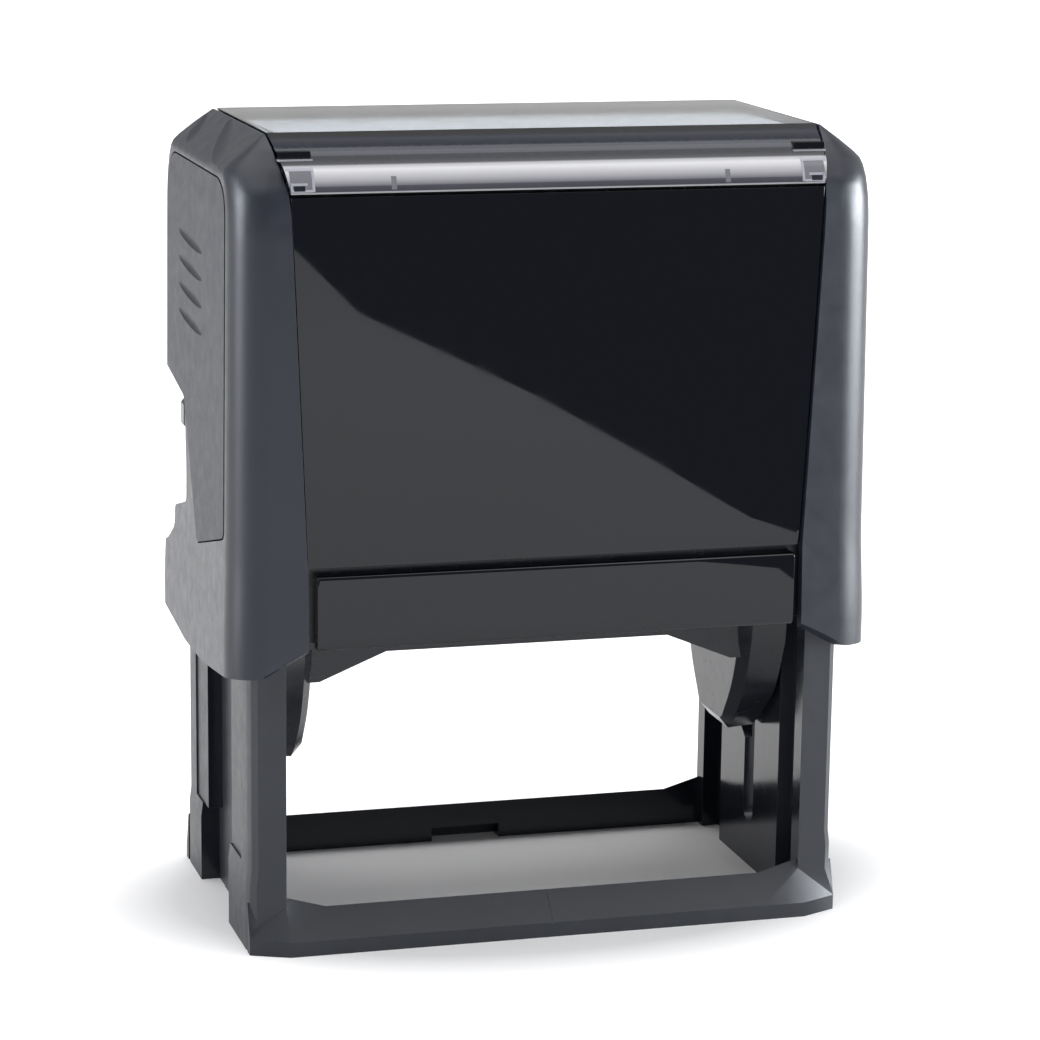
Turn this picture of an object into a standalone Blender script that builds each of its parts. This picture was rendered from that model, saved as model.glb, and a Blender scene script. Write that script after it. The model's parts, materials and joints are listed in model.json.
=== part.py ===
"""Self-inking stamp: base frame, sprung housing and a die carrier that flips up to its ink pad.

Sizes are in millimetres and MM turns them into metres. X is the width, Y the depth (front is -Y)
and Z is up. The origin lies under the middle of the base. Left is -X and right is +X.
"""

import math

import bpy
from mathutils import Matrix, Vector

MM = 0.001
GAP = 0.3
SIDES = {"left": -1, "right": 1}
ENDS = {"front": -1, "rear": 1}

# Base: a rectangular ring with a sloped lip, four posts and two slotted side walls.
LIP_X, LIP_CORNER_X, LIP_Y, LIP_SIDE_Y, LIP_H = 48.0, 42.1, 28.6, 26.0, 2.4
WINDOW_X, WINDOW_Y = 42.0, 24.2
RAIL_H, RAIL_FLAT_X, RAIL_END_H = 6.5, 35.6, 8.4
POST_X, POST_Y, POST_TOP, POST_BACK_Y = 47.7, 25.2, 60.0, 9.6
POST_STEP_X, POST_STEP_Y = 47.4, 18.2
FOOT_H, REAR_FOOT_Y = 13.2, 13.0
WALL_IN_X, WALL_X, WALL_TOP, WALL_END_Y = 42.4, 45.0, 70.0, 13.9
CHANNEL_X, CHANNEL_Y, CHANNEL_TOP = 44.9, 21.9, 53.0
LEDGE_X, LEDGE_TOP, LEDGE_H = 39.4, 57.4, 1.2
NOTCH_X, NOTCH_Y, NOTCH_H = 5.9, 27.2, 2.4

# Motion: the housing drops by STROKE while the die carrier turns half a turn about its axle.
AXLE_Z, AXLE_R = 44.5, 2.0
DIE_REACH = 9.5
DIE_CLEAR = 0.3
STROKE = AXLE_Z - DIE_REACH - DIE_CLEAR
AXLE_IN_X, CAM_IN_X = 37.6, 38.8
CAM_ARM, CAM_R = 12.0, 1.5
RUNNING = 0.3

# Die carrier.
DIE_X, DIE_Y = 37.5, 19.0
RIB_LOW, RIB_IN_Y, RIB_OUT_Y = 39.4, 11.2, 12.8
PLATE_X, PLATE_Y, PLATE_Z, PLATE_TOP = 41.4, 19.2, 46.4, 49.0
CUSHION_X, CUSHION_Y, CUSHION_TOP = 39.2, 18.9, 50.9
DIE_Z, DIE_RELIEF, DIE_BORDER = 51.2, 0.8, 1.5

# Ink cartridge: the pad stays clear of the die's edge, which rises PAD_CLEAR as the flip starts.
PAD_CLEAR = 2.8
PAD_Z = AXLE_Z + DIE_REACH + PAD_CLEAR
PAD_T = 5.0
TRAY_X, TRAY_Y, TRAY_TOP, TRAY_WALL = 41.4, 23.0, 64.2, 1.8
PULL_TAB_X = 16.0

# Return springs between the bridge on the base and the roof of the housing.
SPRING_X, SPRING_R, WIRE_R, SPRING_TURNS = 28.0, 4.6, 0.45, 8
BRIDGE_Z, BRIDGE_TOP, BRIDGE_Y = 70.3, 72.3, 22.0
SPIGOT_TOP, SPIGOT_R = 77.5, 3.7

# Housing.
ROOF_Z, ROOF_T = 117.0, 1.4
TOP = 126.0
SHELL_IN_X, SHELL_IN_Y = 49.3, 27.5
CORE_X, CORE_T, CORE_Y, ROOF_Y = 48.3, 0.7, 25.6, 26.1
OPENING_LOW, OPENING_HIGH = 56.0, 84.5
PANEL_Z, PANEL_TOP = 61.3, 117.3
BAND_Z, BAND_TOP, BAND_X = 48.9, 60.3, 38.1
CORNER_R, END_SLOPE_X = 5.7, 45.0
TABLE_X, TABLE_Y, TABLE_TOP = 42.0, 18.4, 122.9
CARD_X, CARD_Y, CARD_Z, CARD_TOP = 41.0, 17.6, 123.2, 123.6
ARM_IN_X, ARM_OUT_X, ARM_Y = 45.4, 47.7, 5.5

# Lock buttons at the front edge of the rear grip openings.
LOCK_Y, LOCK_Z, LOCK_W, LOCK_H = 10.4, 78.6, 3.8, 4.4
LOCK_IN_X, LOCK_OUT_X = 48.75, 51.0


# --- helpers ---------------------------------------------------------------------------------


def clear_scene():
    for obj in list(bpy.data.objects):
        bpy.data.objects.remove(obj, do_unlink=True)


def material(name, colour, roughness, metallic=0.0, alpha=1.0):
    made = bpy.data.materials.new(name)
    made.use_nodes = True
    shader = made.node_tree.nodes["Principled BSDF"]
    shader.inputs["Base Color"].default_value = (*colour, 1.0)
    shader.inputs["Roughness"].default_value = roughness
    shader.inputs["Metallic"].default_value = metallic
    shader.inputs["Alpha"].default_value = alpha
    return made


def new_object(name, points, faces):
    """An object from points in millimetres, with its faces turned outwards."""
    mesh = bpy.data.meshes.new(name)
    mesh.from_pydata([Vector(point) * MM for point in points], [], faces)
    if signed_volume(mesh) < 0:
        mesh.flip_normals()
    obj = bpy.data.objects.new(name, mesh)
    bpy.context.scene.collection.objects.link(obj)
    return obj


def signed_volume(mesh):
    mesh.calc_loop_triangles()
    corners = [vertex.co for vertex in mesh.vertices]
    total = 0.0
    for triangle in mesh.loop_triangles:
        a, b, c = (corners[index] for index in triangle.vertices)
        total += a.dot(b.cross(c))
    return total


def loft(name, rings):
    """A closed solid through rings of points, each ring with the same number of points."""
    count = len(rings[0])
    points = [point for ring in rings for point in ring]
    faces = [list(range(count)), [len(points) - 1 - i for i in range(count)]]
    for start in range(0, len(points) - count, count):
        for i in range(count):
            after = (i + 1) % count
            faces.append([start + after, start + i, start + count + i, start + count + after])
    return new_object(name, points, faces)


def prism(name, axis, outline, low, high):
    """An outline extruded along an axis. The outline is in the other two axes, in X, Y, Z order."""
    order = {"X": (2, 0, 1), "Y": (0, 2, 1), "Z": (0, 1, 2)}[axis]
    rings = [[tuple((u, v, level)[i] for i in order) for u, v in outline] for level in (low, high)]
    return loft(name, rings)


def box(name, low, high):
    outline = [(low[0], low[1]), (high[0], low[1]), (high[0], high[1]), (low[0], high[1])]
    return prism(name, "Z", outline, low[2], high[2])


def turned(name, profile, y, z, steps=20):
    """A round piece about a line along X through (y, z). The profile is (x, radius) pairs."""
    turns = [2 * math.pi * i / steps for i in range(steps)]
    rings = [[(x, y + r * math.cos(t), z + r * math.sin(t)) for t in turns] for x, r in profile]
    return loft(name, rings)


def spigot(name, x, y, profile, steps=20):
    """A round piece about a vertical line. The profile is (z, radius) pairs."""
    turns = [2 * math.pi * i / steps for i in range(steps)]
    rings = [[(x + r * math.cos(t), y + r * math.sin(t), z) for t in turns] for z, r in profile]
    return loft(name, rings)


def arc(centre, radius, start, end, steps):
    """Points on an arc, with its angles in degrees."""
    angles = [math.radians(start + (end - start) * i / steps) for i in range(steps + 1)]
    return [(centre[0] + radius * math.cos(a), centre[1] + radius * math.sin(a)) for a in angles]


def both_ways(half):
    """A closed outline from the half of it with its first value above 0, mirrored to the other half."""
    return half + [(-u, v) for u, v in reversed(half)]


def combine(obj, operation, tools, solver="EXACT"):
    for tool in tools:
        tool.hide_render = True
        tool.display_type = "WIRE"
        modifier = obj.modifiers.new(f"{operation.lower()} {tool.name}", "BOOLEAN")
        modifier.operation = operation
        modifier.solver = solver
        modifier.object = tool
    return obj


def join(obj, *tools, solver="EXACT"):
    return combine(obj, "UNION", tools, solver)


def cut(obj, *tools, solver="EXACT"):
    return combine(obj, "DIFFERENCE", tools, solver)


def trim(obj, *tools):
    return combine(obj, "INTERSECT", tools)


def place(obj, finish, pivot):
    """Gives a piece its material and hangs it on the empty that its body turns or slides on."""
    obj.data.materials.append(finish)
    obj.data.transform(Matrix.Translation(-pivot.location))
    obj.parent = pivot
    return obj


def smooth(obj, angle=35):
    obj.data.shade_smooth()
    obj.data.set_sharp_from_angle(angle=math.radians(angle))
    return obj


def pivot_at(name, point):
    pivot = bpy.data.objects.new(name, None)
    pivot.location = Vector(point) * MM
    pivot.empty_display_size = 0.01
    bpy.context.scene.collection.objects.link(pivot)
    return pivot


# --- base ------------------------------------------------------------------------------------


def base_rail(end, sign):
    """The front or rear rail: a lip with a slope up to the window's edge, higher at the posts."""
    stations = [(LIP_X, LIP_SIDE_Y, 8.0), (LIP_CORNER_X, LIP_Y, RAIL_END_H), (RAIL_FLAT_X, LIP_Y, RAIL_H)]
    stations += [(-x, y, h) for x, y, h in reversed(stations)]
    rings = []
    for x, y, height in stations:
        section = [(y, 0), (y, LIP_H), (WINDOW_Y, height), (WINDOW_Y, 0)]
        rings.append([(x, sign * across, up) for across, up in section])
    return loft(f"{end}_rail", rings)


def base_post(name, sx, sy):
    """A post with a bevelled outer corner and a shallow step in its side, flared out at its foot."""
    corner = [(POST_X, 23.0), (POST_X - 0.4, 24.4), (POST_X - 1.3, POST_Y)]
    inner = [(WINDOW_X, POST_Y), (WINDOW_X, CHANNEL_Y - 1), (WALL_IN_X, CHANNEL_Y - 1)]
    back = [(WALL_IN_X, POST_BACK_Y), (POST_STEP_X, POST_BACK_Y)]
    upper = back + [(POST_STEP_X, POST_STEP_Y), (POST_X, POST_STEP_Y)] + corner + inner
    foot = back + [(POST_X, POST_BACK_Y)] + corner + inner
    widen = LIP_X - POST_X
    rings = []
    for z, out in ((0, widen), (FOOT_H - 2.5, widen), (FOOT_H, 0)):
        wide = [(x + out if x > WALL_X else x, y) for x, y in foot]
        rings.append([(sx * x, sy * y, z) for x, y in wide])
    outline = [(sx * x, sy * y) for x, y in upper]
    return [loft(f"{name}_foot", rings), prism(name, "Z", outline, 1, POST_TOP)]


def base_wall(side, sx):
    """A side wall between two posts, with a wide top that carries the cartridge."""
    half = [(POST_Y, WALL_TOP), (POST_Y, CHANNEL_TOP), (WALL_END_Y, CHANNEL_TOP), (WALL_END_Y, 1.5)]
    half.append((WALL_END_Y - 1.5, 0))
    low, high = sorted((sx * WALL_IN_X, sx * WALL_X))
    return prism(f"{side}_wall", "X", both_ways(half), low, high)


def base_channels(side, sx):
    """The upright channels beside a wall, which face the window, and the short rear foot."""
    low, high = sorted((sx * (WINDOW_X - 1), sx * CHANNEL_X))
    pieces = []
    for end, sy in ENDS.items():
        near, far = sorted((sy * WALL_END_Y, sy * CHANNEL_Y))
        pieces.append(box(f"{end}_{side}_channel", (low, near, -1), (high, far, CHANNEL_TOP)))
    low, high = sorted((sx * CHANNEL_X, sx * (LIP_X + 1)))
    pieces.append(box(f"{side}_foot_cut", (low, POST_BACK_Y - 1, -1), (high, REAR_FOOT_Y, FOOT_H)))
    return pieces


def cartridge_ledge(side, sx):
    low, high = sorted((sx * LEDGE_X, sx * (WINDOW_X + 1)))
    return box(f"{side}_ledge", (low, -TRAY_Y, LEDGE_TOP - LEDGE_H), (high, TRAY_Y, LEDGE_TOP))


def axle_slot(side, sx):
    """The upright slot in a side wall that the carrier's axle slides down."""
    half = AXLE_R + RUNNING
    low_z = AXLE_Z - STROKE
    outline = arc((0, AXLE_Z), half, 0, 180, 10) + arc((0, low_z), half, 180, 360, 10)
    low, high = sorted((sx * (WINDOW_X - 1), sx * (WALL_X + 1)))
    return prism(f"{side}_axle_slot", "X", outline, low, high)


def strip(path, half):
    """The outline of a band of even width along a path in Y and Z."""
    outer, inner = [], []
    for i, point in enumerate(path):
        along = (path[min(i + 1, len(path) - 1)] - path[max(i - 1, 0)]).normalized()
        across = Vector((-along.y, along.x)) * half
        outer.append(tuple(point + across))
        inner.append(tuple(point - across))
    return outer + inner[::-1]


def cam_groove(side, sx):
    """The groove that turns the carrier: its cam pin runs out along one arm and back along the other."""
    steps = 8
    half = CAM_R + RUNNING + 0.05
    tip_turn = 1.3

    def pin_at(turn):
        return Vector((CAM_ARM * math.sin(turn), AXLE_Z - STROKE * turn / math.pi - CAM_ARM * math.cos(turn)))

    upper = [pin_at(tip_turn * i / steps) for i in range(steps + 1)]
    lower = [pin_at(math.pi - tip_turn * i / steps) for i in range(steps + 1)]
    depth = sorted((sx * (WINDOW_X - 1), sx * (WALL_IN_X + 1.25)))
    pieces = []
    for arm, path in (("upper", upper), ("lower", lower)):
        pieces.append(prism(f"{side}_{arm}_cam_arm", "X", strip(path, half), *depth))
    tip = pin_at(math.pi / 2)
    pieces.append(turned(f"{side}_cam_tip", [(x, half + 0.8) for x in depth], tip.x - 0.7, tip.y))
    return pieces


def rail_marks():
    """A fine sight line down the middle of each rail, and a notch under the rear one."""
    pieces = []
    for end, sign in ENDS.items():
        slope = [(LIP_Y + 1, 1.3), (LIP_Y + 1, 2.8), (WINDOW_Y + 0.4, 7.5), (WINDOW_Y + 0.4, 5.98)]
        outline = [(sign * y, z) for y, z in slope]
        pieces.append(prism(f"{end}_sight_line", "X", outline, -0.2, 0.2))
    pieces.append(box("rear_notch", (-NOTCH_X, WINDOW_Y - 1, -1), (NOTCH_X, NOTCH_Y, NOTCH_H)))
    return pieces


def make_base(plastic, pivot):
    frame = base_rail("front", -1)
    frame.name = "base_frame"
    pieces, cutters = [base_rail("rear", 1)], rail_marks()
    for side, sx in SIDES.items():
        pieces += [base_wall(side, sx), cartridge_ledge(side, sx)]
        cutters += [axle_slot(side, sx)] + cam_groove(side, sx) + base_channels(side, sx)
        for end, sy in ENDS.items():
            pieces += base_post(f"{end}_{side}_post", sx, sy)
    # The rails, posts and walls share many planes, which the exact solver leaves open.
    join(frame, *pieces, solver="MANIFOLD")
    cut(frame, *cutters, solver="MANIFOLD")
    place(frame, plastic, pivot)


def make_bridge(plastic, pivot):
    """The bridge across the two side walls, with a spigot for each return spring."""
    bridge = box("spring_bridge", (-WALL_X, -BRIDGE_Y, BRIDGE_Z), (WALL_X, BRIDGE_Y, BRIDGE_TOP))
    pieces = []
    profile = [(BRIDGE_TOP - 1, SPIGOT_R), (SPIGOT_TOP - 1, SPIGOT_R), (SPIGOT_TOP, SPIGOT_R - 0.8)]
    for side, sx in SIDES.items():
        pieces.append(spigot(f"{side}_spigot", sx * SPRING_X, 0, profile))
        low, high = sorted((sx * 39.8, sx * (WINDOW_X - GAP)))
        pieces.append(box(f"{side}_bridge_lip", (low, -20, BRIDGE_Z - 4), (high, 20, BRIDGE_Z + 1)))
    join(bridge, *pieces)
    place(bridge, plastic, pivot)


def make_cartridge(plastic, felt, pivot):
    tray = box("cartridge_tray", (-TRAY_X, -TRAY_Y, LEDGE_TOP + GAP), (TRAY_X, TRAY_Y, TRAY_TOP))
    pocket_top = PAD_Z + PAD_T + GAP
    half_x, half_y = TRAY_X - TRAY_WALL, TRAY_Y - TRAY_WALL
    hollow = box("tray_pocket", (-half_x, -half_y, LEDGE_TOP - 1), (half_x, half_y, pocket_top))
    tabs = []
    for end, sign in ENDS.items():
        low, high = sorted((sign * (TRAY_Y - 0.5), sign * (TRAY_Y + 1.6)))
        corners = (-PULL_TAB_X, low, TRAY_TOP - 4), (PULL_TAB_X, high, TRAY_TOP - 1)
        tabs.append(box(f"{end}_pull_tab", *corners))
    join(tray, *tabs)
    cut(tray, hollow)
    place(tray, plastic, pivot)
    pad_x, pad_y = LEDGE_X - 0.5, half_y - GAP
    pad = box("ink_pad", (-pad_x, -pad_y, PAD_Z), (pad_x, pad_y, PAD_Z + PAD_T))
    place(pad, felt, pivot)


def make_springs(steel, pivot):
    """Two coil springs with a closed turn at each end."""
    low, high = BRIDGE_TOP + GAP + WIRE_R, ROOF_Z - GAP - WIRE_R
    per_turn, sides = 12, 6
    dead = 1.0
    turns = SPRING_TURNS + 2 * dead
    for side, sx in SIDES.items():
        rings = []
        for i in range(int(turns * per_turn) + 1):
            turn = i / per_turn
            share = min(max((turn - dead) / SPRING_TURNS, 0), 1)
            end_rise = 2.2 * WIRE_R * (min(turn, dead) + max(turn - dead - SPRING_TURNS, 0)) / dead
            z = low + end_rise + share * (high - low - 4.4 * WIRE_R)
            angle = 2 * math.pi * turn
            out = Vector((math.cos(angle), math.sin(angle), 0))
            centre = Vector((sx * SPRING_X, 0, z)) + out * SPRING_R
            ring = []
            for k in range(sides):
                bend = 2 * math.pi * k / sides
                ring.append(centre + WIRE_R * (math.cos(bend) * out + math.sin(bend) * Vector((0, 0, 1))))
            rings.append(ring)
        spring = loft(f"{side}_return_spring", rings)
        smooth(spring)
        place(spring, steel, pivot)


# --- die carrier -----------------------------------------------------------------------------


CHEEK = [
    (35.3, [(13.6, 47.4), (12.9, 42.4), (10.2, 34.5), (5.8, 27.7), (4.6, 27.2)]),
    (36.8, [(15.6, 47.4), (14.9, 42.4), (12.2, 34.2), (7.5, 27.5), (4.7, 25.3)]),
    (41.7, [(18.0, 47.4), (17.3, 42.4), (13.4, 34.0), (7.2, 28.2), (3.4, 25.3)]),
]


def cheek(side, sx):
    """A tapering cheek under the plate, lofted outwards from its narrower inner face."""
    rings = [[(sx * x, y, z) for y, z in both_ways(half)] for x, half in CHEEK]
    return loft(f"{side}_cheek", rings)


def make_carrier(plastic, steel, foam, rubber, pivot):
    frame = box("carrier_frame", (-PLATE_X, -PLATE_Y, PLATE_Z), (PLATE_X, PLATE_Y, PLATE_TOP))
    haunch = both_ways([(23.2, 43.8), (34.0, RIB_LOW), (38.0, RIB_LOW), (38.0, PLATE_Z + 1)])
    pieces, cutters = [], []
    for end, sign in ENDS.items():
        low, high = sorted((sign * RIB_IN_Y, sign * RIB_OUT_Y))
        pieces.append(prism(f"{end}_rib", "Y", haunch, low, high))
    for side, sx in SIDES.items():
        pieces.append(cheek(side, sx))
        low, high = sorted((sx * 39.6, sx * PLATE_X))
        corners = (low, -PLATE_Y, PLATE_TOP - 1), (high, PLATE_Y, PLATE_TOP + 1.5)
        pieces.append(box(f"{side}_plate_lip", *corners))
        axle_bore = [(sx * x, AXLE_R + GAP) for x in (AXLE_IN_X - GAP, PLATE_X + 1)]
        cam_bore = [(sx * x, CAM_R + GAP) for x in (CAM_IN_X - GAP, PLATE_X + 1)]
        cutters.append(turned(f"{side}_axle_bore", axle_bore, 0, AXLE_Z))
        cutters.append(turned(f"{side}_cam_bore", cam_bore, 0, AXLE_Z - CAM_ARM))
    join(frame, *pieces)
    cut(frame, *cutters)
    place(frame, plastic, pivot)
    for side, sx in SIDES.items():
        axle = [(AXLE_IN_X, AXLE_R), (ARM_OUT_X - 0.6, AXLE_R), (ARM_OUT_X - 0.2, AXLE_R - 0.4)]
        pin = turned(f"{side}_axle_pin", [(sx * x, r) for x, r in axle], 0, AXLE_Z)
        place(smooth(pin), steel, pivot)
        cam = [(CAM_IN_X, CAM_R), (WINDOW_X + 1.1, CAM_R), (WINDOW_X + 1.35, CAM_R - 0.25)]
        pin = turned(f"{side}_cam_pin", [(sx * x, r) for x, r in cam], 0, AXLE_Z - CAM_ARM, 16)
        place(smooth(pin), steel, pivot)
    corners = (-CUSHION_X, -CUSHION_Y, PLATE_TOP + GAP), (CUSHION_X, CUSHION_Y, CUSHION_TOP)
    cushion = box("die_cushion", *corners)
    place(cushion, foam, pivot)
    make_text_plate(rubber, pivot)


def make_text_plate(rubber, pivot):
    """The rubber die: a sheet with a raised border and plain bars where the lines of text would be."""
    face = AXLE_Z + DIE_REACH
    field, root = face - DIE_RELIEF - 0.05, DIE_Z + 0.5
    die = box("text_plate", (-DIE_X, -DIE_Y, DIE_Z), (DIE_X, DIE_Y, face - DIE_RELIEF))
    x, y = DIE_X - 0.5, DIE_Y - 0.5
    border = box("die_border", (-x, -y, root), (x, y, face))
    x, y = x - DIE_BORDER, y - DIE_BORDER
    inside = box("die_field", (-x, -y, field), (x, y, face + 1))
    bars = []
    for row, half in enumerate((24, 28, 18)):
        y = 8 - 8 * row
        bars.append(box(f"die_bar_{row}", (-half, y - 1.6, root), (half, y + 1.6, face)))
    join(die, border)
    cut(die, inside)
    join(die, *bars)
    place(die, rubber, pivot)


# --- housing ---------------------------------------------------------------------------------


def shell_outline(side_x, end_y, radius, inner_x):
    """Half a rounded rectangle in plan, from inner_x out to side_x, for the right-hand shell."""
    near = arc((side_x - radius, -end_y + radius), radius, -90, 0, 6)
    far = arc((side_x - radius, end_y - radius), radius, 0, 90, 6)
    return [(inner_x, -end_y)] + near + far + [(inner_x, end_y)]


def side_face_x(z):
    """How far out the housing's side face lies at a height: it leans in towards the top."""
    stations = [(40.0, 51.5), (50.0, 51.5), (62.0, 51.1), (112.0, 50.6), (130.0, 50.2)]
    for (z0, x0), (z1, x1) in zip(stations, stations[1:]):
        if z <= z1:
            return x0 + (x1 - x0) * (z - z0) / (z1 - z0)
    return stations[-1][1]


SHELL_LEVELS = [(40.0, 30.0), (50.0, 30.0), (62.0, 29.4), (112.0, 29.2), (130.0, 28.8)]
FRONT_VIEW = [(39.5, BAND_Z), (42.6, 47.5), (48.0, 44.3), (49.0, 42.3), (53.0, 41.5), (53.0, 119.0)]
FRONT_VIEW += [(43.8, TOP), (42.0, 117.6), (39.5, 61.0)]
SIDE_HALF = [(19.0, TOP), (22.4, 123.9), (25.2, 121.4), (27.7, 118.2), (28.9, 115.2), (29.6, 111.0)]
SIDE_HALF += [(31.0, 106.0), (31.0, 45.0), (27.0, 44.6), (7.0, 42.4)]
HOLLOW = [(30.0, 30.0), (SHELL_IN_X, 30.0), (SHELL_IN_X, 119.7), (43.8, 123.9), (30.0, 123.9)]
HOLLOW_HALF = [(18.6, 124.5), (24.2, 121.0), (26.5, 118.5), (SHELL_IN_Y, 116.8), (SHELL_IN_Y, 30.0)]
REAR_OPENING = [(7.3, 65.0), (7.3, 70.6), (8.2, 75.8), (8.2, 81.4), (24.5, 84.2), (32.0, 84.6)]
REAR_OPENING += [(32.0, 54.6), (24.0, 55.0), (17.0, 59.0), (17.0, 62.5)]
GRIP_HALF = [(23.0, 114.5), (21.6, 117.6), (18.0, 119.2)]


def grip_outline(spread=0.0):
    """The side grip in Y and Z, wider all round by spread: its lower edges are cut by the opening."""
    top = [(y + spread, z + spread) for y, z in GRIP_HALF]
    low = [(-23.0 - spread, 65.5 - spread), (-2.0, 60.4 - spread), (6.0 + spread, 76.2 - spread)]
    low += [(8.9 + spread, 81.8 - spread), (23.0 + spread, 84.8 - spread)]
    return low + top + [(-y, z) for y, z in reversed(top)]


def shell(side, sx, plastic, pivot):
    """A side shell: wraps the side and both corners, with a sloped top and a cut for the cartridge."""
    rings = []
    for z, end_y in SHELL_LEVELS:
        outline = shell_outline(side_face_x(z), end_y, CORNER_R, 36.0)
        rings.append([(sx * x, y, z) for x, y in outline])
    body = loft(f"{side}_shell", rings)
    reach, front_view = sorted((sx * 30, sx * 60)), [(sx * x, z) for x, z in FRONT_VIEW]
    trim(body, prism(f"{side}_shell_front_view", "Y", front_view, -35, 35))
    trim(body, prism(f"{side}_shell_side_view", "X", both_ways(SIDE_HALF), *reach))
    hollow, plan = [(sx * x, z) for x, z in HOLLOW], []
    for x, y in shell_outline(SHELL_IN_X + 0.01, SHELL_IN_Y + 0.01, 4.0, 29.0):
        plan.append((sx * x, y))
    inside = prism(f"{side}_shell_inside", "Y", hollow, -SHELL_IN_Y, SHELL_IN_Y)
    trim(inside, prism(f"{side}_shell_inside_plan", "Z", plan, 20, 130))
    inside_half = sorted((sx * 20, sx * 60))
    trim(inside, prism(f"{side}_shell_inside_side", "X", both_ways(HOLLOW_HALF), *inside_half))
    grip_window = prism(f"{side}_grip_window", "X", grip_outline(0.2), *reach)
    cut(body, inside, prism(f"{side}_rear_opening", "X", REAR_OPENING, *reach), grip_window)
    place(body, plastic, pivot)


def grip(side, sx, rubber, pivot):
    """The matt grip panel set in the side shell."""
    low, high = sorted((sx * SHELL_IN_X, sx * 52))
    body = prism(f"{side}_grip", "X", grip_outline(), low, high)
    face = [(SHELL_IN_X - 1, 50.0), (side_face_x(55.0) + 0.1, 55.0), (side_face_x(62.0) + 0.1, 62.0)]
    face += [(side_face_x(112.0) + 0.1, 112.0), (side_face_x(122.0) + 0.1, 122.0), (SHELL_IN_X - 1, 122.0)]
    trim(body, prism(f"{side}_grip_face", "Y", [(sx * x, z) for x, z in face], -40, 40))
    place(body, rubber, pivot)


def make_core(plastic, pivot):
    """The inner frame that the shells and panels clip to: a roof with walls hanging from it."""
    end_x = END_SLOPE_X
    outline = [(CORE_X + CORE_T, -22.0), (CORE_X + CORE_T, 22.0), (end_x, ROOF_Y), (-end_x, ROOF_Y)]
    outline += [(-x, -y) for x, y in outline]
    core = prism("housing_core", "Z", outline, ROOF_Z, ROOF_Z + ROOF_T)
    table = (-TABLE_X, -TABLE_Y, ROOF_Z + 0.7), (TABLE_X, TABLE_Y, TABLE_TOP)
    front = (-end_x, -SHELL_IN_Y + GAP, BAND_Z + 0.6), (end_x, -CORE_Y, ROOF_Z + 0.2)
    rear = (-end_x, CORE_Y, OPENING_HIGH), (end_x, SHELL_IN_Y - GAP, ROOF_Z + 0.2)
    pieces = [box("card_table", *table), box("front_core_wall", *front), box("rear_core_wall", *rear)]
    side_view = [(-22.0, ROOF_Z + 1), (-22.0, 50.5), (6.8, 50.5), (6.8, 71.5), (13.5, 71.5)]
    side_view += [(13.5, 86.0), (22.0, 86.0), (22.0, ROOF_Z + 1)]
    cutters = []
    for side, sx in SIDES.items():
        low, high = sorted((sx * CORE_X, sx * (CORE_X + CORE_T)))
        pieces.append(prism(f"{side}_core_wall", "X", side_view, low, high))
        low, high = sorted((sx * (CORE_X - 1), sx * (CORE_X + 3)))
        half_y, half_z = LOCK_W / 2 + GAP, LOCK_H / 2 + GAP
        near, far = (low, LOCK_Y - half_y, LOCK_Z - half_z), (high, LOCK_Y + half_y, LOCK_Z + half_z)
        cutters.append(box(f"{side}_lock_hole", near, far))
    join(core, *pieces)
    cut(core, *cutters)
    place(core, plastic, pivot)


def make_panels(gloss, pivot):
    """The glossy front and rear panels, and the proud band below each of them."""
    for end, sign in ENDS.items():
        low_z = PANEL_Z if end == "front" else OPENING_HIGH + GAP
        width_at = 39.5 + 2.5 * (low_z - 61.0) / 56.6
        outline = both_ways([(width_at - 0.25, low_z), (41.7, PANEL_TOP)])
        bow = [(SHELL_IN_Y, low_z), (28.3, low_z), (28.6, 100.0), (28.4, 110.0)]
        bow += [(28.0, PANEL_TOP), (SHELL_IN_Y, PANEL_TOP)]
        panel = prism(f"{end}_panel", "X", [(sign * y, z) for y, z in bow], -45, 45)
        low, high = sorted((sign * (SHELL_IN_Y - 1), sign * 30))
        trim(panel, prism(f"{end}_panel_front_view", "Y", outline, low, high))
        place(panel, gloss, pivot)
        top = BAND_TOP if end == "front" else OPENING_LOW
        band_y = SHELL_IN_Y if end == "front" else SHELL_IN_Y - 1.2
        section = [(band_y, BAND_Z), (29.5, BAND_Z), (29.9, BAND_Z + 0.6)]
        section += [(29.8, top - 0.8), (29.3, top), (band_y, top)]
        band = prism(f"{end}_band", "X", [(sign * y, z) for y, z in section], -BAND_X, BAND_X)
        place(band, gloss, pivot)


def carrier_arm(side, sx, steel, pivot):
    """An arm hanging from the roof outside the base wall, with the bearing for the carrier's axle."""
    outline = arc((0, AXLE_Z), 3.6, 180, 360, 8) + [(ARM_Y, AXLE_Z + 8), (ARM_Y, ROOF_Z - GAP)]
    outline += [(-ARM_Y, ROOF_Z - GAP), (-ARM_Y, AXLE_Z + 8)]
    low, high = sorted((sx * ARM_IN_X, sx * ARM_OUT_X))
    arm = prism(f"{side}_carrier_arm", "X", outline, low, high)
    ends = sorted((sx * (ARM_IN_X - 1), sx * (ARM_OUT_X + 1)))
    cut(arm, turned(f"{side}_arm_bore", [(x, AXLE_R + RUNNING) for x in ends], 0, AXLE_Z))
    place(arm, steel, pivot)


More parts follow.
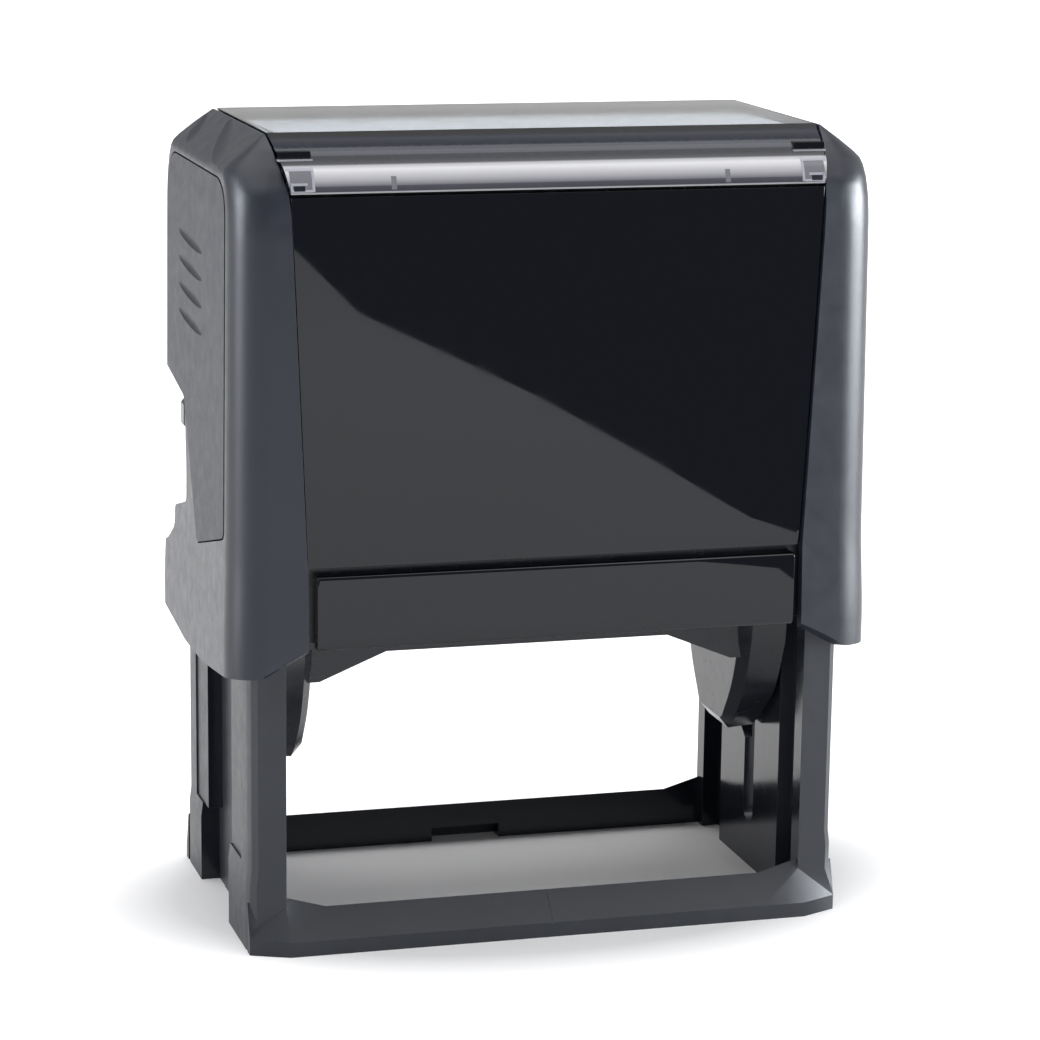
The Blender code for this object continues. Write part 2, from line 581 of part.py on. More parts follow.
def make_window(clear, paper, housing, pivot):
    """The clear cap over the roof and the blank card under it."""
    card = box("label_card", (-CARD_X, -CARD_Y, CARD_Z), (CARD_X, CARD_Y, CARD_TOP))
    place(card, paper, housing)
    outer = [(19.0, TOP), (25.4, 122.3), (26.9, 121.2), (28.0, 119.2), (28.4, 117.7)]
    inner = [(26.9, 117.7), (26.4, 119.0), (25.4, 120.2), (18.9, 124.5)]
    profile = outer + inner
    profile += [(-y, z) for y, z in reversed(profile)]
    cap = prism("index_window", "X", profile, -46, 46)
    sides = both_ways([(41.75, 117.5), (43.5, TOP + 1)])
    trim(cap, prism("window_front_view", "Y", sides, -35, 35))
    place(cap, clear, pivot)


def lock_button(side, sx, plastic):
    """A small button on its own spring tongue, which locks the housing for a change of cartridge."""
    pivot = pivot_at(f"{side}_lock_pivot", (sx * LOCK_OUT_X, LOCK_Y, LOCK_Z))
    half_y, half_z = LOCK_W / 2, LOCK_H / 2
    rings = []
    for x, inset in ((LOCK_IN_X, 0), (LOCK_OUT_X - 0.5, 0), (LOCK_OUT_X, 0.5)):
        y, z = half_y - inset, half_z - inset
        corners = [(-y, -z), (y, -z), (y, z), (-y, z)]
        rings.append([(sx * x, LOCK_Y + across, LOCK_Z + up) for across, up in corners])
    place(loft(f"{side}_lock_button", rings), plastic, pivot)


def main():
    clear_scene()
    base_plastic = material("base_plastic", (0.060, 0.066, 0.074), 0.42)
    inner_plastic = material("inner_plastic", (0.030, 0.032, 0.036), 0.38)
    shell_plastic = material("shell_plastic", (0.085, 0.092, 0.105), 0.50)
    grip_rubber = material("grip_rubber", (0.095, 0.100, 0.112), 0.62)
    gloss_plastic = material("gloss_plastic", (0.010, 0.010, 0.012), 0.06)
    clear_plastic = material("clear_plastic", (0.80, 0.82, 0.84), 0.04, alpha=0.35)
    paper = material("card_paper", (0.62, 0.64, 0.66), 0.80)
    steel = material("spring_steel", (0.55, 0.55, 0.56), 0.28, metallic=1.0)
    felt = material("ink_felt", (0.020, 0.022, 0.035), 0.95)
    foam = material("die_foam", (0.10, 0.10, 0.11), 0.95)
    rubber = material("die_rubber", (0.30, 0.06, 0.05), 0.65)

    base = pivot_at("base_origin", (0, 0, 0))
    housing = pivot_at("housing_slide", (0, 0, TOP))
    carrier = pivot_at("carrier_axle", (0, 0, AXLE_Z))
    window = pivot_at("window_lift", (0, 0, TOP))

    make_base(base_plastic, base)
    make_bridge(inner_plastic, base)
    make_cartridge(inner_plastic, felt, base)
    make_springs(steel, base)
    make_carrier(inner_plastic, steel, foam, rubber, carrier)
    make_core(inner_plastic, housing)
    make_panels(gloss_plastic, housing)
    make_window(clear_plastic, paper, housing, window)
    for side, sx in SIDES.items():
        shell(side, sx, shell_plastic, housing)
        grip(side, sx, grip_rubber, housing)
        carrier_arm(side, sx, inner_plastic, housing)
        lock_button(side, sx, inner_plastic)


main()
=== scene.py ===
"""The looks of a self-inking stamp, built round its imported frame.

Lengths are in metres unless a name or comment says otherwise, and MM turns millimetres into metres.
X is the width, Y the depth (front is -Y) and Z is up.
"""

import json
import math

import bmesh
import bpy
from mathutils import Matrix, Vector


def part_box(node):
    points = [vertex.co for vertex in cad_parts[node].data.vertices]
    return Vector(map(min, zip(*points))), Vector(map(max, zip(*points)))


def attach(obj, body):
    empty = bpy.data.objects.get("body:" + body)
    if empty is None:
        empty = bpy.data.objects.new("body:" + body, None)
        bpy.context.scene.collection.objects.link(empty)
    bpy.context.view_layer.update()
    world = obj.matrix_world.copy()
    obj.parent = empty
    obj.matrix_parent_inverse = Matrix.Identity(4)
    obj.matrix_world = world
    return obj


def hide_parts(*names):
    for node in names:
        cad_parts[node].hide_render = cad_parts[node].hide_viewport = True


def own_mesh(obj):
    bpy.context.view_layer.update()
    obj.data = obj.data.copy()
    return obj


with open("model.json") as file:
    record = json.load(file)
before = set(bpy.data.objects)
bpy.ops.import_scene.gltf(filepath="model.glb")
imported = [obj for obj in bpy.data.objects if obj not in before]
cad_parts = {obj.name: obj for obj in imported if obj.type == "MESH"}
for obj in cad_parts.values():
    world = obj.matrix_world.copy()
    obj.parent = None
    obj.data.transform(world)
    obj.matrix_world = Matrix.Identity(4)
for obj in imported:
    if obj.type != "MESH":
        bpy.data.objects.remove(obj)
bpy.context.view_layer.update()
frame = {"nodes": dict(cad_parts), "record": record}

MM = 0.001
SIDES = {"left": -1, "right": 1}
ENDS = {"front": -1, "rear": 1}

CAMERA_TARGET = (0.0, 0.0, 0.050)
CAMERA_AZIMUTH, CAMERA_ELEVATION, CAMERA_ROLL = -15.93, 13.32, 0.70
CAMERA_DISTANCE, CAMERA_LENS = 0.5732, 122.7
CAMERA_SHIFT = (0.0125, 0.0643)
SENSOR_WIDTH = 36.0


# --- materials -------------------------------------------------------------------------------


class Nodes:
    """A material's node tree, with a short way to add and link nodes."""

    def __init__(self, name):
        self.material = bpy.data.materials.new(name)
        self.material.use_nodes = True
        self.tree = self.material.node_tree
        self.shader = self.tree.nodes["Principled BSDF"]
        self.where = self.tree.nodes.new("ShaderNodeTexCoord").outputs["Object"]

    def add(self, kind, **values):
        node = self.tree.nodes.new(kind)
        for key, value in values.items():
            socket = node.inputs[key.replace("_", " ")]
            if isinstance(value, bpy.types.NodeSocket):
                self.tree.links.new(value, socket)
            else:
                socket.default_value = value
        return node

    def link(self, output, name):
        self.tree.links.new(output, self.shader.inputs[name])

    def set(self, **values):
        for key, value in values.items():
            self.shader.inputs[key.replace("_", " ")].default_value = value

    def noise(self, grains_per_mm, detail=3.0, roughness=0.5):
        made = self.add("ShaderNodeTexNoise", Vector=self.where, Scale=grains_per_mm / MM)
        made.inputs["Detail"].default_value = detail
        made.inputs["Roughness"].default_value = roughness
        return made.outputs["Fac"]

    def spread(self, value, low, high, start=0.3, end=0.7):
        """The value's range from start to end, mapped to low to high and held there."""
        made = self.add("ShaderNodeMapRange", Value=value)
        made.inputs["From Min"].default_value = start
        made.inputs["From Max"].default_value = end
        made.inputs["To Min"].default_value = low
        made.inputs["To Max"].default_value = high
        return made.outputs["Result"]

    def mix(self, factor, first, second):
        made = self.tree.nodes.new("ShaderNodeMix")
        made.data_type = "RGBA"
        self.tree.links.new(factor, made.inputs["Factor"])
        for socket, colour in ((made.inputs[6], first), (made.inputs[7], second)):
            if isinstance(colour, bpy.types.NodeSocket):
                self.tree.links.new(colour, socket)
            else:
                socket.default_value = (*colour, 1.0)
        return made.outputs[2]

    def bump(self, height, depth_mm, strength=1.0, under=None):
        made = self.add("ShaderNodeBump", Height=height, Strength=strength, Distance=depth_mm * MM)
        if under is not None:
            self.tree.links.new(under, made.inputs["Normal"])
        return made.outputs["Normal"]


def scaled(colour, factor):
    return tuple(min(1.0, channel * factor) for channel in colour)


def moulded_plastic(name, colour, roughness, grain_mm=0.45, grain_depth=0.012, wear=0.35):
    """Satin moulded plastic: spark-eroded grain, faint mottling, and paler, smoother worn edges."""
    n = Nodes(name)
    grain = n.noise(1 / grain_mm, 4.0, 0.6)
    mottle = n.noise(0.06, 3.0)
    scuff = n.noise(0.35, 5.0, 0.7)
    tone = n.mix(n.spread(mottle, 0, 1), scaled(colour, 0.93), scaled(colour, 1.08))
    edge = n.tree.nodes.new("ShaderNodeNewGeometry").outputs["Pointiness"]
    worn = n.add("ShaderNodeMath", Value=n.spread(edge, 0, 1, 0.51, 0.60))
    worn.operation = "MULTIPLY"
    n.tree.links.new(n.spread(scuff, 0, wear, 0.4, 0.75), worn.inputs[1])
    n.link(n.mix(worn.outputs[0], tone, scaled(colour, 1.9)), "Base Color")
    n.link(n.spread(scuff, roughness - 0.04, roughness + 0.06), "Roughness")
    fine = n.bump(grain, grain_depth)
    n.link(n.bump(n.noise(0.12, 2.0), 0.012, 0.5, fine), "Normal")
    n.set(IOR=1.5, Specular_IOR_Level=0.36)
    return n.material


def gloss_black(name):
    """Polished black plastic with a trace of flow waviness, dust specks and hairline rubbing."""
    n = Nodes(name)
    dust = n.noise(3.0, 2.0)
    speck = n.spread(dust, 0, 1, 0.72, 0.80)
    n.link(n.mix(speck, (0.001, 0.001, 0.002), (0.01, 0.01, 0.012)), "Base Color")
    n.link(n.spread(n.noise(0.2, 4.0), 0.012, 0.030), "Roughness")
    n.link(n.bump(n.noise(0.02, 0.0), 0.002, 0.3), "Normal")
    n.set(IOR=1.5, Specular_IOR_Level=0.42, Specular_Tint=(0.93, 0.95, 1.0, 1.0))
    return n.material


def clear_plastic(name):
    """Clear moulded plastic, with faint haze and waviness."""
    n = Nodes(name)
    n.link(n.spread(n.noise(0.3, 4.0), 0.02, 0.07), "Roughness")
    n.link(n.bump(n.noise(0.05, 2.0), 0.01, 0.4), "Normal")
    n.set(IOR=1.49, Transmission_Weight=1.0, Base_Color=(0.86, 0.89, 0.93, 1.0))
    return n.material


# Heights in millimetres on the cap's edge, and the colour painted there: the pale bands are painted
# highlights and internal reflections, the dark bands painted shade where the dark roof shows through.
CAP_PAINTED_LIGHT_BANDS = [
    (117.80, (0.30, 0.30, 0.32)),
    (118.05, (0.30, 0.30, 0.32)),
    (118.12, (0.05, 0.05, 0.06)),
    (118.85, (0.07, 0.07, 0.085)),
    (118.95, (0.16, 0.16, 0.18)),
    (119.80, (0.38, 0.38, 0.40)),
    (121.20, (0.64, 0.64, 0.67)),
    (121.72, (0.34, 0.34, 0.37)),
    (121.86, (0.012, 0.013, 0.020)),
    (122.95, (0.015, 0.016, 0.025)),
    (123.05, (0.060, 0.064, 0.080)),
    (123.45, (0.050, 0.054, 0.070)),
    (123.65, (0.012, 0.015, 0.026)),
    (125.30, (0.009, 0.012, 0.022)),
    (125.42, (0.006, 0.006, 0.008)),
    (126.00, (0.006, 0.006, 0.008)),
]


def painted_cap_plastic(name, bands):
    """The cap's moulded edge, coloured in bands by height: painted highlights and internal reflections
    where pale, painted shade where the dark roof shows through.
    """
    n = Nodes(name)
    height = n.add("ShaderNodeSeparateXYZ", Vector=n.where).outputs["Z"]
    low, high = bands[0][0] * MM, bands[-1][0] * MM
    ramp = n.add("ShaderNodeValToRGB", Fac=n.spread(height, 0, 1, low, high))
    stops = ramp.color_ramp.elements
    while len(stops) < len(bands):
        stops.new(0.5)
    for i in range(len(bands)):
        stops[i].position = i / 100  # keeps the stops in order while each moves to its height
    for stop, (z, colour) in reversed(list(zip(stops, bands))):
        stop.position = (z * MM - low) / (high - low)
        stop.color = (*colour, 1.0)
    haze = n.noise(1.2, 3.0)
    n.link(n.mix(n.spread(haze, 0, 0.012), ramp.outputs["Color"], (0.5, 0.5, 0.52)), "Base Color")
    n.link(n.spread(haze, 0.09, 0.16), "Roughness")
    n.set(Specular_IOR_Level=0.22)
    n.link(n.bump(n.noise(0.05, 2.0), 0.01, 0.3), "Normal")
    return n.material


def card(name, colour):
    """Coated card, with a faint fibre."""
    n = Nodes(name)
    fibre = n.noise(2.0, 6.0, 0.7)
    n.link(n.mix(n.spread(fibre, 0, 1), scaled(colour, 0.97), scaled(colour, 1.03)), "Base Color")
    n.link(n.spread(fibre, 0.62, 0.78), "Roughness")
    n.link(n.bump(fibre, 0.01), "Normal")
    return n.material


def steel(name):
    """Drawn spring wire."""
    n = Nodes(name)
    tone = n.spread(n.noise(1.0, 4.0), 0, 1)
    n.link(n.mix(tone, (0.42, 0.42, 0.43), (0.60, 0.60, 0.60)), "Base Color")
    n.link(n.spread(n.noise(4.0, 3.0), 0.22, 0.38), "Roughness")
    n.link(n.bump(n.noise(8.0, 2.0), 0.004), "Normal")
    n.set(Metallic=1.0)
    return n.material


def felt(name, colour):
    """Inked felt or foam: rough and fibrous."""
    n = Nodes(name)
    fibre = n.noise(3.0, 8.0, 0.8)
    n.link(n.mix(n.spread(fibre, 0, 1), scaled(colour, 0.6), scaled(colour, 1.6)), "Base Color")
    n.link(n.spread(fibre, 0.75, 0.95), "Roughness")
    n.link(n.bump(fibre, 0.12), "Normal")
    return n.material


def rubber(name, colour):
    """Engraved stamp rubber: matt, with uneven tone."""
    n = Nodes(name)
    tone = n.spread(n.noise(0.15, 4.0), 0, 1)
    n.link(n.mix(tone, scaled(colour, 0.85), scaled(colour, 1.15)), "Base Color")
    n.link(n.spread(n.noise(1.5, 3.0), 0.48, 0.66), "Roughness")
    n.link(n.bump(n.noise(5.0, 3.0), 0.02), "Normal")
    return n.material


# --- mesh helpers ----------------------------------------------------------------------------


def new_piece(name, points, faces):
    """A mesh object from points in millimetres, with its faces turned outwards."""
    mesh = bpy.data.meshes.new(name)
    mesh.from_pydata([Vector(point) * MM for point in points], [], faces)
    work = bmesh.new()
    work.from_mesh(mesh)
    bmesh.ops.recalc_face_normals(work, faces=work.faces)
    work.to_mesh(mesh)
    work.free()
    piece = bpy.data.objects.new(name, mesh)
    bpy.context.scene.collection.objects.link(piece)
    return piece


def loft(name, rings, closed=False):
    """A solid through rings of points, capped at both ends unless it closes on itself."""
    count = len(rings[0])
    points = [point for ring in rings for point in ring]
    faces = [] if closed else [list(range(count)), [len(points) - 1 - i for i in range(count)]]
    for start in range(0, len(points) - (0 if closed else count), count):
        above = (start + count) % len(points)
        for i in range(count):
            after = (i + 1) % count
            faces.append([start + after, start + i, above + i, above + after])
    return new_piece(name, points, faces)


def prism(name, axis, outline, low, high):
    """An outline extruded along an axis. The outline is in the other two axes, in X, Y, Z order."""
    order = {"X": (2, 0, 1), "Y": (0, 2, 1), "Z": (0, 1, 2)}[axis]
    rings = [[tuple((u, v, level)[i] for i in order) for u, v in outline] for level in (low, high)]
    return loft(name, rings)


def both_ways(half):
    """Half an outline, followed by its mirror image about u = 0."""
    return half + [(-u, v) for u, v in reversed(half)]


def rounded(outline, radius, steps=5):
    """An outline with each corner replaced by a curve that starts radius away from it."""
    corners = [Vector(point) for point in outline]
    points = []
    for i, corner in enumerate(corners):
        before, after = corners[i - 1] - corner, corners[(i + 1) % len(corners)] - corner
        reach = min(radius, 0.45 * before.length, 0.45 * after.length)
        start, end = corner + before.normalized() * reach, corner + after.normalized() * reach
        for k in range(steps + 1):
            t = k / steps
            points.append(tuple((1 - t) ** 2 * start + 2 * t * (1 - t) * corner + t * t * end))
    return points


def lens(name, start, end, width, depth, out):
    """A long thin ellipsoid from start to end, which cuts or raises a lens-shaped mark."""
    start, end, out = Vector(start), Vector(end), Vector(out).normalized()
    along = end - start
    across = along.cross(out).normalized()
    rings, steps, sides = [], 16, 16
    for i in range(1, steps):
        bend = math.pi * i / steps
        centre = start + along * (1 - math.cos(bend)) / 2
        ring = []
        for k in range(sides):
            turn = 2 * math.pi * k / sides
            offset = across * width / 2 * math.cos(turn) + out * depth * math.sin(turn)
            ring.append(centre + offset * math.sin(bend))
        rings.append(ring)
    return loft(name, rings)


def combine(piece, operation, tools):
    """Cuts a piece with the tools, or keeps what it shares with them, then removes the tools."""
    for tool in tools:
        modifier = piece.modifiers.new(tool.name, "BOOLEAN")
        modifier.operation, modifier.solver, modifier.object = operation, "MANIFOLD", tool
    settle(piece)
    for tool in tools:
        bpy.data.objects.remove(tool, do_unlink=True)
    return piece


def settle(piece):
    """Replaces a piece's mesh with the one that its modifiers make."""
    graph = bpy.context.evaluated_depsgraph_get()
    mesh = bpy.data.meshes.new_from_object(piece.evaluated_get(graph))
    piece.modifiers.clear()
    piece.data = mesh
    return piece


def bevelled(piece, radius_mm, segments, angle):
    """Rounds the edges that turn by more than the angle."""
    bevel = piece.modifiers.new("rounded edges", "BEVEL")
    bevel.width = radius_mm * MM
    bevel.segments = segments
    bevel.limit_method = "ANGLE"
    bevel.angle_limit = math.radians(angle)
    return settle(piece)


def soften(piece, radius_mm, segments=4, angle=28, sharp=40):
    """Rounds a piece's edges, and shades it smooth between what stays sharp."""
    if radius_mm:
        bevelled(piece, radius_mm, segments, angle)
    piece.data.shade_smooth()
    piece.data.set_sharp_from_angle(angle=math.radians(sharp))
    weighted = piece.modifiers.new("even shading", "WEIGHTED_NORMAL")
    weighted.keep_sharp = True
    return piece


# --- pieces ----------------------------------------------------------------------------------


def body_of(node):
    return next(b for b, members in frame["record"]["behaviour"]["bodies"].items() if node in members)


def slot_of(node):
    return next(row["material_slot"] for row in frame["record"]["subparts"] if row["node"] == node)


def dress(piece, node, material, replaces=True):
    """Gives a piece its material, and lets it stand for a CAD node on that node's body."""
    if not any(piece.data.materials):
        piece.data.materials.clear()
        piece.data.materials.append(material)
    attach(piece, body_of(node))
    if replaces:
        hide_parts(node)
    return piece


def inner_face(face):
    """Whether a face of the base looks into its window."""
    middle, normal = face.center / MM, face.normal
    side = abs(middle.x) < 45.2 and normal.x * middle.x < -0.5 * abs(middle.x)
    end = abs(middle.y) < 25.5 and abs(normal.y) > 0.7 and normal.y * middle.y < 0
    return side or end


def refined(node, material, radius_mm, segments=4):
    """A clean copy of a CAD node: welded, freed of its triangulation, and with rounded edges."""
    mesh = frame["nodes"][node].data.copy()
    work = bmesh.new()
    work.from_mesh(mesh)
    bmesh.ops.remove_doubles(work, verts=work.verts, dist=2e-6)
    bmesh.ops.dissolve_limit(work, angle_limit=math.radians(0.6), verts=work.verts, edges=work.edges)
    work.to_mesh(mesh)
    work.free()
    mesh.materials.clear()
    piece = bpy.data.objects.new(f"{node}_finished", mesh)
    bpy.context.scene.collection.objects.link(piece)
    soften(piece, radius_mm, segments, sharp=20)
    # faces looking into the window take a darker, glossier copy of the base plastic: the darker colour
    # is painted shade
    if node == "base_frame":
        piece.data.materials.append(material)
        piece.data.materials.append(base_inside)
        for face in piece.data.polygons:
            face.material_index = int(inner_face(face))
    return dress(piece, node, material)


def along(stations, at):
    """The value at a place between stations, which are (place, value) pairs in order."""
    for (p0, v0), (p1, v1) in zip(stations, stations[1:]):
        if at <= p1:
            return v0 + (v1 - v0) * max(0.0, (at - p0) / (p1 - p0))
    return stations[-1][1]


def least(a, b, blend):
    """The smaller of two values, with the corner between them rounded off."""
    low = min(a, b)
    return low - blend * math.log(math.exp((low - a) / blend) + math.exp((low - b) / blend))


# The housing's outline in millimetres. SIDE_FACE, END_FACE and TOP_CURVE give half-widths and
# half-depths at heights, INNER_EDGE the shells' inner edge; the rest are outlines in Y and Z or X and Z.
SIDE_FACE = [(40.0, 51.5), (50.0, 51.5), (62.0, 51.1), (112.0, 50.6), (130.0, 50.2)]
END_FACE = [(40.0, 30.0), (50.0, 30.0), (62.0, 29.4), (112.0, 29.2), (130.0, 28.8)]
TOP_CURVE = [(106.0, 30.6), (111.0, 29.7), (115.2, 28.95), (118.2, 27.75)]
TOP_CURVE += [(121.4, 25.25), (123.9, 22.45), (126.0, 19.1)]
INNER_EDGE = [(40.0, 39.5), (61.0, 39.5), (117.6, 42.0), (126.0, 43.8)]
CORNER_R, SHELL_T, FOOT_AT = 5.7, 1.9, 48
SHELL_TOP, HOLLOW_TOP = 125.8, 123.6
UNDER_SIDE = [(0.0, 42.4), (7.0, 42.4), (27.0, 44.6), (31.0, 45.0)]
UNDER_FRONT = [(39.5, 48.9), (42.6, 47.5), (48.0, 44.4), (49.0, 42.3), (53.0, 42.0)]
REAR_OPENING = [(7.3, 65.0), (7.3, 70.6), (8.2, 75.8), (8.2, 81.4), (24.5, 84.2), (34.0, 84.6)]
REAR_OPENING += [(34.0, 54.6), (24.0, 55.0), (17.0, 59.0), (17.0, 62.5)]
GRIP_TOP = [(23.0, 114.5), (21.6, 117.6), (18.0, 119.2)]
GRIP_GAP = 0.22
SLOPE_FROM, SLOPE_RUN, SLOPE_FALL = (53.0, 119.0), 7.0, 9.2
SCOOPS = [
    ((50.4, 9.0, 121.3), (44.9, 20.5, 125.3)),
    ((51.2, -17.0, 120.5), (44.3, 4.5, 125.8)),
]
FINGER_MARKS = (107.1, 102.9, 98.7, 94.5)


def shell_side(z):
    """The shell's half-width at a height: its side, then the slope at its top."""
    slope = SLOPE_FROM[0] - (z - SLOPE_FROM[1]) * SLOPE_FALL / SLOPE_RUN
    return least(along(SIDE_FACE, z), slope, 0.45)


def shell_end(z):
    """The shell's half-depth at a height: its end, then the curve over its top."""
    return least(along(END_FACE, z), along(TOP_CURVE, z), 0.3)


def plan_path(side, end, inner, radius):
    """Half a rounded rectangle in plan, from the front inner edge round to the rear one."""
    radius = max(0.05, min(radius, 0.8 * (side - inner)))
    flat, turns, length = 5, 12, 26
    half = [(inner + (side - radius - inner) * i / flat, -end) for i in range(flat)]
    for i in range(turns):
        a = math.radians(-90 + 90 * i / turns)
        half.append((side - radius + radius * math.cos(a), -end + radius + radius * math.sin(a)))
    reach = end - radius
    middle = [(side, -reach + 2 * reach * i / length) for i in range(length + 1)]
    return half + middle + [(x, -y) for x, y in reversed(half)]


def underside(x, y):
    """The height of the shell's lower edge, which rises towards the front and rear."""
    return max(along(UNDER_SIDE, abs(y)), along(UNDER_FRONT, x))


def grip_outline(spread):
    """The grip plate's outline in Y and Z, grown by spread."""
    top = [(y + spread, z + spread) for y, z in GRIP_TOP]
    low = [(-23.0 - spread, 65.5 - spread), (-2.0, 60.4 - spread), (6.0 + spread, 76.2 - spread)]
    low += [(8.9 + spread, 81.8 - spread), (23.0 + spread, 84.8 - spread)]
    return rounded(low + top + [(-y, z) for y, z in reversed(top)], 1.6)


def make_shell(side, sx):
    """A side shell as one rounded skin, with the grip's window, the cartridge's cut and two scoops."""
    levels = [52 + 3 * i for i in range(20)] + [111 + 0.9 * i for i in range(14)]
    levels += [HOLLOW_TOP, HOLLOW_TOP + 0.05, 124.3, 124.9, 125.4, SHELL_TOP]
    side_x, end_y, edge = shell_side(FOOT_AT), shell_end(FOOT_AT), along(INNER_EDGE, FOOT_AT)
    outer = plan_path(side_x, end_y, edge, CORNER_R)
    inner = plan_path(side_x - SHELL_T, end_y - SHELL_T, edge, CORNER_R - SHELL_T)
    foot = [(x, y, underside(x, y)) for x, y in outer]
    foot += [(x, y, underside(x + SHELL_T, y)) for x, y in reversed(inner)]
    rings = []
    for share in (0.0, 0.25, 0.6):
        rings.append([(sx * x, y, z + (levels[0] - z) * share) for x, y, z in foot])
    for z in levels:
        side_x, end_y, edge = shell_side(z), shell_end(z), along(INNER_EDGE, z)
        outer = plan_path(side_x, end_y, edge, CORNER_R)
        if z > HOLLOW_TOP:
            inner = [(edge, end_y * (1.94 * i / (len(outer) - 1) - 0.97)) for i in range(len(outer))]
        else:
            depth = SHELL_T + max(0.0, z - 112) * 0.14
            inner = plan_path(max(side_x - depth, edge + 0.3), end_y - depth, edge, CORNER_R - SHELL_T)
        rings.append([(sx * x, y, z) for x, y in outer + inner[::-1]])
    piece = bevelled(loft(f"{side}_shell_skin", rings), 0.35, 3, 48)
    tools = [prism("grip_window", "X", grip_outline(GRIP_GAP), *sorted((sx * 47, sx * 60)))]
    tools.append(prism("rear_opening", "X", rounded(REAR_OPENING, 1.2), *sorted((sx * 30, sx * 60))))
    slope_out = (sx * SLOPE_RUN, 0, SLOPE_FALL)
    for ends in SCOOPS:
        marks = [(sx * x, y, z + 0.18) for x, y, z in ends]
        tools.append(lens("scoop", *marks, 3.4, 0.95, slope_out))
    combine(piece, "DIFFERENCE", tools)
    return dress(soften(piece, 0, sharp=32), f"{side}_shell", shell_plastic)


def make_grip(side, sx):
    """The grip plate: its face follows the shell's side, with four lens-shaped finger marks."""
    piece = prism(f"{side}_grip_plate", "X", grip_outline(0.0), *sorted((sx * 49.4, sx * 53)))
    face = [(along(SIDE_FACE, z) + 0.1, z) for z in (50.0, 62.0, 112.0, 122.0)]
    face = [(49.0, 50.0), *face, (49.0, 122.0)]
    combine(piece, "INTERSECT", [prism("face", "Y", [(sx * x, z) for x, z in face], -40, 40)])
    tools = []
    for z in FINGER_MARKS:
        x = sx * (along(SIDE_FACE, z) + 0.32)
        tools.append(lens("finger_mark", (x, -6.5, z - 0.6), (x, 13.5, z + 0.6), 2.0, 0.75, (sx, 0, 0)))
    combine(piece, "DIFFERENCE", tools)
    return dress(soften(piece, 0.3, 3, 50), f"{side}_grip", grip_plastic)


ROLL_WIDTH, PLATE_BACK = 9.0, 27.8
PANEL_TOP = 117.3


def gloss_plate(name, node, section, width_at, roll):
    """A glossy plate: its section in Y and Z is lofted across, and rolls back near its left edge."""
    steps = 60
    rings = []
    for i in range(steps + 1):
        u = math.sin(math.pi * (i / steps - 0.5))
        ring = []
        for y, z in section:
            x = u * width_at(z)
            past = max(0.0, -x - (width_at(z) - ROLL_WIDTH)) / ROLL_WIDTH
            ring.append((x, y - math.copysign(roll * past**2, y) if abs(y) > PLATE_BACK else y, z))
        rings.append(ring)
    return dress(soften(loft(name, rings), 0.2, 3, 50), node, black)


def panel_width(z):
    """The panel's half-width, which grows by 2.45 mm over its height of 56 mm."""
    return 39.25 + 2.45 * (z - 61.3) / 56.0


def band_width(z):
    return 38.1


def make_panels():
    """The bowed front and rear panels, each over a band that stands proud of it."""
    steps = 24
    for end, sign in ENDS.items():
        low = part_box(f"{end}_panel")[0][2] / MM
        heights = [low + (PANEL_TOP - low) * i / steps for i in range(steps + 1)]
        bows = [0.25 * math.sin(math.pi * i / steps) ** 0.6 for i in range(steps + 1)]
        face = [(28.35 + bow, z) for bow, z in zip(bows, heights)]
        section = [(sign * y, z) for y, z in [(27.5, low), *face, (27.5, PANEL_TOP)]]
        gloss_plate(f"{end}_panel_gloss", f"{end}_panel", section, panel_width, 0.10)
        low, high = (corner[2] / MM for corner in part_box(f"{end}_band"))
        back = 27.5 if end == "front" else 26.3
        section = [(back, low), (29.4, low), (29.85, low + 0.6)]
        section += [(29.9, low + (high - low) * t) for t in (0.2, 0.4, 0.6, 0.8, 0.95)]
        section += [(29.86, high - 0.4), (29.74, high - 0.2), (29.55, high - 0.07), (29.2, high)]
        section += [(back, high)]
        section = [(sign * y, z) for y, z in section]
        gloss_plate(f"{end}_band_gloss", f"{end}_band", section, band_width, 0.08)


CAP_LOW, CAP_CLEAR = 117.8, 18.95
CAP_OUTER = [(18.9, 126.0), (23.3, 123.5), (24.2, 123.05), (24.6, 122.5), (25.7, 121.85)]
CAP_OUTER += [(26.2, 121.75), (26.9, 121.2), (27.5, 120.4), (27.95, 119.5), (28.2, 118.7)]
CAP_OUTER += [(28.35, 118.1), (28.3, 117.8)]
CAP_INNER = [(26.9, 117.8), (26.7, 118.7), (26.3, 119.6), (25.4, 120.3), (23.9, 121.4), (18.6, 124.6)]


def make_window():
    """The clear cap: a sloped front with a step, above a moulded rim coloured with painted highlights,
    reflections and shade.
    """
    profile = both_ways(CAP_OUTER + CAP_INNER)
    rings = []
    for u in (-1.0, -0.985, -0.5, 0.0, 0.5, 0.985, 1.0):
        rings.append([(u * (41.75 + 1.66 * (z - CAP_LOW) / 8.2), y, z) for y, z in profile])
    piece = loft("index_window_cap", rings)
    piece.data.materials.append(clear)
    piece.data.materials.append(rim_painted_light)
    for face in piece.data.polygons:
        # faces beyond the clear front take the rim's painted light and shade
        middle = face.center / MM
        face.material_index = int(abs(middle.y) > CAP_CLEAR)
    dress(soften(piece, 0.1, 2, 40), "index_window", clear)
    for side, sx in SIDES.items():
        for end, sy in ENDS.items():
            clip(side, sx, end, sy)


# Half-depths of the cap's rim at heights.
RIM_CURVE = [(117.8, 28.36), (118.1, 28.35), (118.7, 28.2), (119.5, 27.95), (120.4, 27.5)]
RIM_CURVE += [(121.2, 26.9), (121.75, 26.2), (122.0, 25.5)]


